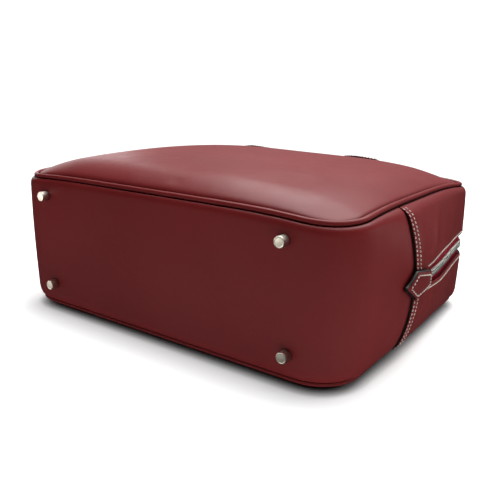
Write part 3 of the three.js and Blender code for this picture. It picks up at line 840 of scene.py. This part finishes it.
# ---- stitches ----
def stitch_mesh(points, ahead, up, length=1.9 * MM, radius=0.46 * MM, lean=0.12):
    """Short waxed stitches, each a plump capsule lying along its row and sunk at both ends."""
    ends = [(-0.5, 0.25, -0.5), (-0.40, 0.75, 0.05), (-0.18, 1.0, 0.5), (0.18, 1.0, 0.5),
            (0.40, 0.75, 0.05), (0.5, 0.25, -0.5)]
    sides = 6
    parts = []
    for p, a, u in zip(points, ahead, up):
        p, a, u = Vector(p), Vector(a).normalized(), Vector(u).normalized()
        side = u.cross(a).normalized()
        a = (a + lean * side).normalized()
        side = u.cross(a).normalized()
        rings = []
        for along, fat, height in ends:
            center = p + a * (along * length) + u * (height * radius)
            rings.append([center + radius * fat * (math.cos(t) * side + math.sin(t) * u)
                          for t in (2 * math.pi * k / sides for k in range(sides))])
        parts.append(loft(rings))
    return stack(parts)


def sampled(at, total, values):
    """Values of a polyline's points at distances along it."""
    return np.stack([np.interp(at, total, values[:, k]) for k in range(3)], axis=1)


def along_path(path, pitch):
    """Evenly spaced points and directions along a polyline."""
    path = np.asarray(path, float)
    lengths = np.linalg.norm(np.diff(path, axis=0), axis=1)
    total = np.concatenate([[0], np.cumsum(lengths)])
    count = max(1, round(total[-1] / pitch))
    at = (np.arange(count) + 0.5) * total[-1] / count
    before, after = (sampled(at + step, total, path) for step in (-pitch / 2, pitch / 2))
    return sampled(at, total, path), after - before, at, total


def row_of_stitches(path, normals, pitch=3.0 * MM):
    points, ahead, at, total = along_path(path, pitch)
    return stitch_mesh(points, ahead, sampled(at, total, np.asarray(normals, float)))


def sew(name, body, rows):
    """Rows of stitches as one piece of thread, on the body they are sewn to."""
    settle_on(merged(name, [(*row, 0) for row in rows], [THREAD]), body, "thread")


def outline_normals(rows):
    return np.stack([rows[:, 2], rows[:, 3], 0 * rows[:, 0]], axis=1)


SEAM_STITCHES = (1.9 * MM, 6.8 * MM)
STRIP_BODIES = {1: "mouth", -1: "root"}
STRIP_NAMES = {1: "front", -1: "back"}


def lip_stitches(sign):
    lip_z = LIP_FRONT if sign > 0 else LIP_BACK
    rows = upper_outline(ZIP_END_Y + 2 * MM)
    z = np.full(len(rows), lip_z + sign * LIP_STITCH)
    path = settle(off_outline(rows, strip_lift(rows, z) - 0.2 * MM, z + lip_shift(rows, z)))
    return row_of_stitches(path, outline_normals(rows))


def seam_stitches(sign, side, from_edge):
    """A row across the side seam, from beside the end tab to the shoulder."""
    near = TAB_HALF_WIDTH + 1.5 * MM if from_edge < 5 * MM else TAB_HALF_WIDTH + 0.5 * MM
    z = Z_MID + sign * np.linspace(near, THICKNESS / 2 - 2.5 * MM, 40)
    row = np.array([side * HALF_L, SEAM_Y + from_edge, side, 0.0])
    rows = np.broadcast_to(row, (len(z), 4))
    path = settle(off_outline(rows, strip_lift(rows, z) + shoulder_out(z, sign), z))
    return row_of_stitches(path, outline_normals(rows))


def make_strip_stitches():
    for sign in (1, -1):
        parts = [lip_stitches(sign)]
        for side in (1, -1):
            for from_edge in SEAM_STITCHES:
                parts.append(seam_stitches(sign, side, from_edge))
        sew(f"{STRIP_NAMES[sign]}_strip_stitches", STRIP_BODIES[sign], parts)


# ---- zip ----
TEETH_PITCH = 2.5 * MM
TEETH_OUT = -1.4 * MM


def make_tape(sign):
    outline = upper_outline(SEAM_Y + 14 * MM)
    near, far = Z_MID + sign * 2.4 * MM, Z_MID + sign * 16 * MM
    rows = [(-2.6 * MM + 0.25 * MM * math.sin(k * 1.7), z)
            for k, z in enumerate(np.linspace(near, far, 9))]
    rows = rows if sign > 0 else rows[::-1]
    name = STRIP_NAMES[sign]
    obj = gusset(f"{name}_zip_cloth", outline, rows, no_lift, f"zip_tape_{name}",
                 STRIP_BODIES[sign], [TAPE, TAPE], 0.8 * MM, 0.1)


def tooth_rings(p, ahead, up, sign):
    """One stamped tooth: a foot clamped on the tape and a nose that reaches past the middle."""
    across = Vector((0, 0, 1)) * sign
    sizes = [(3.1, 0.50, 0.7), (2.9, 0.62, 1.0), (1.2, 0.62, 1.05), (0.5, 0.80, 0.95),
             (-0.4, 0.80, 0.85), (-0.9, 0.55, 0.55)]
    rings = []
    for reach, half_width, half_height in sizes:
        center = p + across * (reach * MM)
        rings.append([center + ahead * (half_width * MM * a) + up * (half_height * MM * b)
                      for a, b in ((-1, -0.7), (-0.7, -1), (0.7, -1), (1, -0.7), (1, 0.7), (0.7, 1),
                                   (-0.7, 1), (-1, 0.7))])
    return rings


def make_teeth(sign):
    rows = upper_outline(ZIP_END_Y - 6 * MM)
    path = settle(off_outline(rows, np.full(len(rows), TEETH_OUT), np.full(len(rows), Z_MID)))
    points, ahead, at, total = along_path(path, TEETH_PITCH)
    if sign < 0:
        points = points + 0.5 * ahead
    ups = sampled(at, total, outline_normals(rows))
    teeth = [loft(tooth_rings(Vector(p), Vector(a).normalized(), Vector(u).normalized(), sign))
             for p, a, u in zip(points, ahead, ups)]
    name = STRIP_NAMES[sign]
    obj = make_object(f"{name}_teeth", *stack(teeth), [TEETH])
    outward(obj)
    return settle_on(obj, STRIP_BODIES[sign], "nickel", f"zip_teeth_{name}")


# ---- leather tabs: an outline given as half widths along a spine ----
TAB_HALF_WIDTH = 9.5 * MM
TAB_NECK = 5.4 * MM
TAB_CENTER_Z = Z_MID + 1.2 * MM
TAB_THICKNESS = 2.8 * MM


def pentagon_grid(stations, half_widths, columns, place, thickness):
    """Grids for skin(): place(station, across, raised) gives the points of a tab."""
    outer, inner = [], []
    for station, half in zip(stations, half_widths):
        across = np.linspace(-1, 1, columns)
        rim = np.minimum(1 - np.abs(across), 1.0)
        dome = 0.35 * MM * smooth(rim / 0.25)
        outer.append([place(station, a * half, thickness - 0.35 * MM + d)
                      for a, d in zip(across, dome)])
        inner.append([place(station, a * half, 0.0) for a in across])
    return np.array(outer), np.array(inner)


def end_tab(side):
    """The home-plate tab over the end of the zip, its point towards the feet."""
    point_y, shoulder_y, top_y = SEAM_Y - 14 * MM, SEAM_Y - 2 * MM, ZIP_END_Y
    stations = joined(np.linspace(point_y, shoulder_y, 10), np.linspace(shoulder_y, top_y, 14))
    opening = np.clip((stations - point_y) / (shoulder_y - point_y), 0.12, 1)
    narrowing = (TAB_NECK - TAB_HALF_WIDTH) * (stations - shoulder_y) / (top_y - shoulder_y)
    half_widths = np.where(stations <= shoulder_y, TAB_HALF_WIDTH * opening,
                           TAB_HALF_WIDTH + narrowing)

    def place(y, across, raised):
        row = np.array([side * HALF_L, y, side, 0.0])
        z = TAB_CENTER_Z + side * across
        on_seam = smooth((y - point_y) / (6 * MM))
        lift = 0.3 * MM + float(strip_lift(row, z)) * on_seam + 0.5 * MM * (1 - on_seam)
        return off_outline(row, lift + raised, z)

    outer, inner = pentagon_grid(stations, half_widths, 15, place, TAB_THICKNESS)
    name = "right" if side > 0 else "left"
    obj = skin(f"{name}_end_tab", settle(outer), settle(inner), [STRAP, EDGE], 0.3)
    settle_on(obj, "root", "strap_leather", f"zip_end_tab_{name}")

    inset = 2.0 * MM
    wide, neck = TAB_HALF_WIDTH - inset, TAB_NECK - inset
    corners = [(top_y - inset, -neck), (shoulder_y + 0.3 * MM, -wide), (point_y + 3.2 * MM, 0),
               (shoulder_y + 0.3 * MM, wide), (top_y - inset, neck), (top_y - inset, -neck)]
    parts = []
    for (y0, a0), (y1, a1) in zip(corners[:-1], corners[1:]):
        t = np.linspace(0, 1, 8)
        path = settle(np.array([place(y0 + (y1 - y0) * k, a0 + (a1 - a0) * k, TAB_THICKNESS)
                                for k in t]))
        parts.append(row_of_stitches(path, np.tile([side, 0, 0], (8, 1)), 2.7 * MM))
    sew(f"{name}_end_tab_stitches", "root", parts)


# ---- feet ----
def make_feet():
    for end in ("front", "back"):
        for side in ("left", "right"):
            node = f"foot_{end}_{side}"
            low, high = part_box(node)
            radius = (high.x - low.x) / 2
            height = -HALF_H - low.y
            profile = [(0, -3 * MM), (1.5 * MM, -3 * MM), (1.5 * MM, -0.2 * MM),
                       (radius * 0.9, 0.0),
                       (radius * 0.97, 0.25 * MM), (radius * 0.98, height - 0.9 * MM),
                       (radius, height - 0.55 * MM), (radius * 0.985, height - 0.25 * MM),
                       (radius * 0.93, height - 0.06 * MM), (radius * 0.86, height),
                       (radius * 0.80, height - 0.02 * MM), (radius * 0.76, height - 0.12 * MM),
                       (radius * 0.70, height - 0.10 * MM), (radius * 0.4, height - 0.02 * MM),
                       (0.05 * MM, height)]
            points, faces = lathe(profile)
            turn = Matrix.Rotation(math.pi / 2, 4, "X")
            center = Vector(((low.x + high.x) / 2, -HALF_H, (low.z + high.z) / 2))
            placed = [turn @ p + center for p in points]
            obj = make_object(f"{end}_{side}_foot", placed, faces, [NICKEL])
            outward(obj)
            settle_on(obj, "root", "nickel", node)


# ---- handles ----
GRIP_R = 5 * MM
GRIP_DROP = 105 * MM
GRIP_LEG = 48 * MM


def grip_curve(t):
    """The handle's centre line in its own plane: across and drop, t from 0 to 1."""
    leg_share = 0.22
    side = -1 if t < 0.5 else 1
    from_end = min(t, 1 - t)
    if from_end < leg_share:
        return side * HANDLE_X, GRIP_LEG * from_end / leg_share
    angle = (t - leg_share) / (1 - 2 * leg_share) * math.pi
    return -HANDLE_X * math.cos(angle), GRIP_LEG + (GRIP_DROP - GRIP_LEG) * math.sin(angle)


def heading(path, k):
    """From the point before to the point after."""
    return path[min(k + 1, len(path) - 1)] - path[max(k - 1, 0)]


def handle_spine(pivot, down, neck):
    """Centre points from the left tab, round the pivot, along the grip, to the right tab."""
    grip = []
    for t in np.linspace(0, 1, 90):
        across, drop = grip_curve(float(t))
        grip.append(Vector((across, pivot.y, pivot.z)) + down * drop)
    left = [Vector((-HANDLE_X, y, z)) for y, z in neck]
    right = [Vector((HANDLE_X, y, z)) for y, z in reversed(neck)]
    return left, grip[2:-2], right


def make_handle(name, node, pivot, down, neck, body_to, upward):
    left, grip, right = handle_spine(pivot, down, neck)
    spine = left + grip + right
    lengths = [0.0]
    for a, b in zip(spine[:-1], spine[1:]):
        lengths.append(lengths[-1] + (b - a).length)
    total = lengths[-1]
    flat_length = lengths[len(left)]
    sides = 20
    rings = []
    seam_path, seam_up = [], []
    for k, center in enumerate(spine):
        ahead = heading(spine, k).normalized()
        from_end = min(lengths[k], total - lengths[k])
        round_share = float(smooth((from_end - flat_length + 2 * MM) / (20 * MM)))
        half_wide = 7.2 * MM * (1 - round_share) + GRIP_R * round_share
        half_thick = 1.5 * MM * (1 - round_share) + GRIP_R * round_share
        plane_up = down.cross(Vector((1, 0, 0)))
        if plane_up.dot(upward) < 0:
            plane_up = -plane_up
        neck_up = Vector((1, 0, 0)).cross(ahead) if abs(ahead.x) < 0.3 else plane_up
        if neck_up.dot(upward) < 0:
            neck_up = -neck_up
        up = (neck_up if from_end < flat_length + 12 * MM else plane_up).normalized()
        side = up.cross(ahead).normalized()
        up = ahead.cross(side).normalized()
        ring = []
        for j in range(sides):
            a = 2 * math.pi * j / sides
            power = 0.55 + 0.45 * round_share
            ca, sa = math.cos(a), math.sin(a)
            wide = math.copysign(abs(ca) ** power, ca) * half_wide
            thick = math.copysign(abs(sa) ** power, sa) * half_thick
            ring.append(center + side * wide + up * thick)
        rings.append(ring)
        if round_share > 0.6:
            inward = (spine[0] + spine[-1]) / 2 + down * GRIP_LEG - center
            inward = (inward - inward.dot(ahead) * ahead).normalized()
            seam_path.append(center + inward * GRIP_R * 0.98)
            seam_up.append(inward)
    points, faces = loft(rings)
    ridge = grip_seam(seam_path, seam_up)
    obj = merged(name, [(points, faces, 0), (*ridge, 1)], [STRAP, EDGE])
    outward(obj)
    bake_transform(obj)
    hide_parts(node)
    beside = [p + up.cross(heading(seam_path, k)).normalized() * 1.6 * MM
              for k, (p, up) in enumerate(zip(seam_path, seam_up))]
    sew(f"{name}_stitches", body_to, [row_of_stitches(beside, seam_up)])


def grip_seam(path, ups):
    """The closing edge of the rolled leather: a low painted ridge on the inside of the grip."""
    rings = []
    for k, (p, up) in enumerate(zip(path, ups)):
        ahead = heading(path, k).normalized()
        side = up.cross(ahead).normalized()
        rings.append([p + side * (0.9 * MM * math.cos(a)) + up * (0.9 * MM * math.sin(a))
                      for a in (2 * math.pi * j / 8 for j in range(8))])
    return loft(rings)


def handle_tab(name, node, x, body, surface, sign):
    """A chape: a pointed leather patch sewn on the panel over the handle's flat end."""
    point_y, end_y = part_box(node)[0].y, HALF_H - 9.5 * MM
    shoulder_y, neck_y = point_y + 8 * MM, point_y + 14 * MM
    stations = joined(np.linspace(point_y, shoulder_y, 9), np.linspace(shoulder_y, neck_y, 6),
                      np.linspace(neck_y, end_y, 8))
    wide, narrow = 18.5 * MM, 9.5 * MM
    half_widths = np.where(stations <= shoulder_y,
                           wide * np.clip((stations - point_y) / (shoulder_y - point_y), 0.05, 1),
                           wide + (narrow - wide) * smooth((stations - neck_y) / (6 * MM)))

    def place(y, across, raised):
        rise = 0.9 * MM * smooth((y - neck_y) / (10 * MM)) * (1 - min(abs(across) / narrow, 1) ** 4)
        return (x + across, y, surface(x + across, y) + sign * (raised + float(rise)))

    outer, inner = pentagon_grid(stations, half_widths, 21, place, 1.5 * MM)
    if sign < 0:
        outer, inner = outer[:, ::-1], inner[:, ::-1]
    obj = skin(name, settle(outer), settle(inner), [STRAP, EDGE], 0.3)
    settle_on(obj, body, "strap_leather", node)
    inset = 2.3 * MM
    rim = [(y, h - inset) for y, h in zip(stations, half_widths) if h > 3 * inset / 2]
    first = point_y + inset * 1.6
    for_side = [(first, 0.0)] + [(max(y, first), h) for y, h in rim]
    parts = []
    for side in (1, -1):
        path = settle(np.array([place(y, side * max(h, 0), 1.55 * MM) for y, h in for_side]))
        parts.append(row_of_stitches(path, np.tile([0, 0, sign], (len(for_side), 1)), 2.9 * MM))
    sew(f"{name}_stitches", body, parts)


def make_handles():
    front_top = lambda x, y: float(front_height(np.array(x), np.array(y), PANEL_INSET)) + 0.15 * MM
    back_under = lambda x, y: 2.5 * MM
    for name, x in (("left", -HANDLE_X), ("right", HANDLE_X)):
        handle_tab(f"front_{name}_chape", f"front_handle_tab_{name}", x, "front_half", front_top, 1)
        handle_tab(f"back_{name}_chape", f"back_handle_tab_{name}", x, "root", back_under, -1)
    tilt = math.radians(8)
    front_neck = [(HALF_H + y * MM, Z_FRONT + z * MM) for y, z in (
        (-16, 8.2), (-11, 6.6), (-7, 5.0), (-3, 3.8), (1, 3.4), (5, 3.2), (7.8, 1.8))]
    make_handle("front_rolled_handle", "front_handle", FRONT_PIVOT,
                Vector((0, math.sin(tilt), -math.cos(tilt))), front_neck,
                "front_grip",
                Vector((0, 0.6, 0.8)))
    back_neck = [(HALF_H + y * MM, z * MM)
                 for y, z in ((-16, 2.2), (-10, 2.0), (-4, 1.9), (2, 2.3), (6, 3.4))]
    make_handle("back_rolled_handle", "back_handle", BACK_PIVOT, Vector((0, 1, 0)), back_neck,
                "back_grip",
                Vector((0, 0, 1)))


# ---- zip sliders ----
def make_slider(side):
    """Slider body, bail and pin; then the pull with its leather tab."""
    name = "right" if side > 0 else "left"
    low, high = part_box(f"zip_slider_{name}")
    center = Vector(((low.x + high.x) / 2, HALF_H, Z_MID))
    pin_out = JOINTS[f"pull_{name}_flip"]["pos_m"][1] - HALF_H

    def placed(points):
        return [center + Vector((side * p.x, p.y, side * p.z)) for p in points]

    parts = [block(mm(11.6, 1.6, 9.6), Vector((0, 0, 0)), 0.7 * MM, 3),
             block(mm(11.0, 1.8, 1.3), mm(0, -0.9, -4.2 * side), 0.4 * MM)]
    for lug in (-1, 1):
        parts.append(block(mm(3.6, 4.2, 1.0), mm(0, 2.3, lug * 2.5), 0.35 * MM))
    pin_points, pin_faces = lathe([mm(0.05, -2.9), mm(0.7, -2.8), mm(0.7, 2.8), mm(0.05, 2.9)], 16)
    parts.append(([p + Vector((0, pin_out, 0)) for p in pin_points], pin_faces))
    obj = merged(f"{name}_slider", [(placed(p), f, 0) for p, f in parts], [NICKEL])
    outward(obj)
    settle_on(obj, f"slider_{name}", "nickel", f"zip_slider_{name}")

    eye_points, eye_faces = lathe([mm(1, -1.5), mm(2, -1.5), mm(2.15, -1.3), mm(2.15, 1.3),
                                   mm(2, 1.5), mm(1, 1.5), mm(1, -1.5)], 24)
    eye_faces = eye_faces[:-2]
    bar = block(mm(12, 1.1, 3.2), Vector((8.0 * MM, pin_out, 0)), 0.4 * MM)
    eye = [p + Vector((0, pin_out, 0)) for p in eye_points]
    pull = merged(f"{name}_pull", [(placed(eye), eye_faces, 0), (placed(bar[0]), bar[1], 0)],
                  [NICKEL])
    weld(pull)
    settle_on(pull, f"pull_{name}", "nickel", f"zip_pull_{name}")

    tab_low, tab_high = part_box(f"zip_pull_tab_{name}")
    length = tab_high.x - tab_low.x
    start = min(abs(tab_low.x - center.x), abs(tab_high.x - center.x))
    stations = np.linspace(0, 1, 18)
    round_end = np.sqrt(1 - (np.clip((stations - 0.88) / 0.12, 0, 1) * 0.8) ** 2)
    half = 4.4 * MM * (0.74 + 0.26 * smooth(stations * 2.2)) * round_end

    def place(t, across, raised):
        p = Vector((start + t * length, pin_out - 1.6 * MM + raised, across))
        return tuple(placed([p])[0])

    outer, inner = pentagon_grid(stations, half, 11, place, 3.2 * MM)
    tab = skin(f"{name}_pull_tab", outer, inner, [STRAP, EDGE], 0.3)
    settle_on(tab, f"pull_{name}", "strap_leather", f"zip_pull_tab_{name}")
    parts = []
    for edge in (-1, 1):
        path = [place(t, edge * 3.0 * MM * (0.78 + 0.22 * float(smooth(t * 2.2))), 3.25 * MM)
                for t in (0.08, 0.3, 0.5, 0.7, 0.9)]
        parts.append(row_of_stitches(path, np.tile([0, 1, 0], (5, 1)), 2.5 * MM))
    sew(f"{name}_pull_tab_stitches", f"pull_{name}", parts)


# ---- hidden CAD pieces that stay as they are ----
def finish_cad_nodes():
    finishes = {"base_board": BOARD, "inner_pocket": LINING}
    finishes.update({name: NICKEL for name in frame["nodes"] if name.startswith("foot_washer")})
    for name, material in finishes.items():
        mesh = frame["nodes"][name].data
        mesh.materials.clear()
        mesh.materials.append(material)


# ---- studio ----
def area_light(name, place, target, size, power, color=(1, 1, 1)):
    data = bpy.data.lights.new(name, "AREA")
    data.shape = "RECTANGLE"
    data.size, data.size_y = size
    data.energy = power
    data.color = color
    light = bpy.data.objects.new(name, data)
    light.location = place
    light.rotation_euler = (Vector(target) - Vector(place)).to_track_quat("-Z", "Y").to_euler()
    bpy.context.collection.objects.link(light)
    return light


FLOOR_R = 1.1
FLOOR_FADE = (0.62, 0.95)
FOOTPRINT = (0.125, 0.095, 1.0)  # half sizes of the ground that the bag covers


def floor_material():
    """White paper that fades into the white studio well away from the bag; it glows, and a painted
    contact shadow darkens its glow and colour next to the bag.
    """
    m = Nodes("studio_floor")
    m.set(Roughness=0.9, Specular_IOR_Level=0.0)
    distance = m.new("ShaderNodeVectorMath", operation="LENGTH")
    m.link(m.place, distance.inputs[0])
    fade = m.scaled(distance.outputs["Value"], 1, 0, *FLOOR_FADE)
    m.link(fade, m.shader.inputs["Alpha"])
    outside = m.place
    zero = (0, 0, 0)
    for operation, value in (("ABSOLUTE", zero), ("SUBTRACT", FOOTPRINT), ("MAXIMUM", zero)):
        node = m.new("ShaderNodeVectorMath", operation=operation)
        node.inputs[1].default_value = value
        m.link(outside, node.inputs[0])
        outside = node.outputs["Vector"]
    away = m.new("ShaderNodeVectorMath", operation="LENGTH")
    m.link(outside, away.inputs[0])
    # painted shadow: the floor's glow is held low towards the bag's footprint
    near = m.scaled(away.outputs["Value"], 0, 1, 0.0, 0.058)
    # painted contact shadow: ambient occlusion darkens the floor's glow and colour where the bag
    # stands
    contact_shadow_ao = m.new("ShaderNodeAmbientOcclusion", samples=16)
    contact_shadow_ao.inputs["Distance"].default_value = 0.014
    unshaded_share = m.scaled(contact_shadow_ao.outputs["AO"], 0, 1, 0.22, 0.74)
    m.set(Emission_Color=(1, 1, 1, 1))
    glow_and_painted_shadow = m.scaled(m.math("POWER", near, 0.8), 0.05, 0.82)
    m.link(m.math("MULTIPLY", glow_and_painted_shadow, unshaded_share), m.shader.inputs["Emission Strength"])
    paper = m.ramp(m.noise(2), [(0.0, (0.53, 0.53, 0.53)), (1.0, (0.57, 0.57, 0.57))])
    return m.finish(m.mix((0.10, 0.10, 0.10), paper, unshaded_share))


def make_studio():
    ring = [(FLOOR_R * math.cos(a), FLOOR_R * math.sin(a), -0.0008)
            for a in (2 * math.pi * k / 96 for k in range(96))]
    floor = make_object("floor", ring, [tuple(range(96))], [floor_material()])
    floor.visible_glossy = False
    world = bpy.data.worlds.new("studio")
    world.use_nodes = True
    bpy.context.scene.world = world
    tree = world.node_tree
    background = tree.nodes["Background"]
    path = tree.nodes.new("ShaderNodeLightPath")
    strength = tree.nodes.new("ShaderNodeMapRange")
    strength.inputs["To Min"].default_value = 0.03
    strength.inputs["To Max"].default_value = 1.2
    tree.links.new(path.outputs["Is Camera Ray"], strength.inputs["Value"])
    tree.links.new(strength.outputs["Result"], background.inputs["Strength"])
    background.inputs["Color"].default_value = (1, 1, 1, 1)
    area_light("overhead", (0.0, 0.50, 1.3), (0, 0, 0), (1.8, 1.4), 44)
    area_light("backdrop", (-0.4, 1.9, 0.7), (0, 0, 0.1), (3.4, 1.2), 2.4)
    area_light("left_back", (-1.9, 0.9, 0.6), (0, 0, 0.1), (1.2, 1.0), 6.0)
    area_light("right_side", (1.6, 0.5, 0.45), (0.1, 0, 0.05), (1.3, 1.1), 0.3)
    area_light("low_right", (1.3, 1.2, 0.16), (0.1, 0, 0.05), (0.8, 0.3), 1.0)
    metal = bpy.data.collections.new("metal_pieces")
    for obj in METAL_PIECES:
        metal.objects.link(obj)
    warm = (1.0, 0.97, 0.9)
    for glint in (
        area_light("low_left", (-0.7, -0.85, 0.10), (0, 0, 0.08), (1.0, 0.22), 4.5, warm),
        area_light("low_back", (0.9, 0.9, 0.30), (0.1, 0, 0.06), (0.8, 0.4), 4.0),
    ):
        glint.light_linking.receiver_collection = metal
    bpy.context.scene.view_settings.view_transform = "Standard"
    bpy.context.scene.view_settings.look = "None"


make_panels()
make_piping("front_welt", Z_FRONT, "front_piping", "mouth")
make_piping("back_welt", Z_BACK, "back_piping", "root")
make_gussets()
make_strip_stitches()
for half in (1, -1):
    make_tape(half)
    make_teeth(half)
    end_tab(half)
    make_slider(half)
make_feet()
make_handles()
finish_cad_nodes()
make_studio()
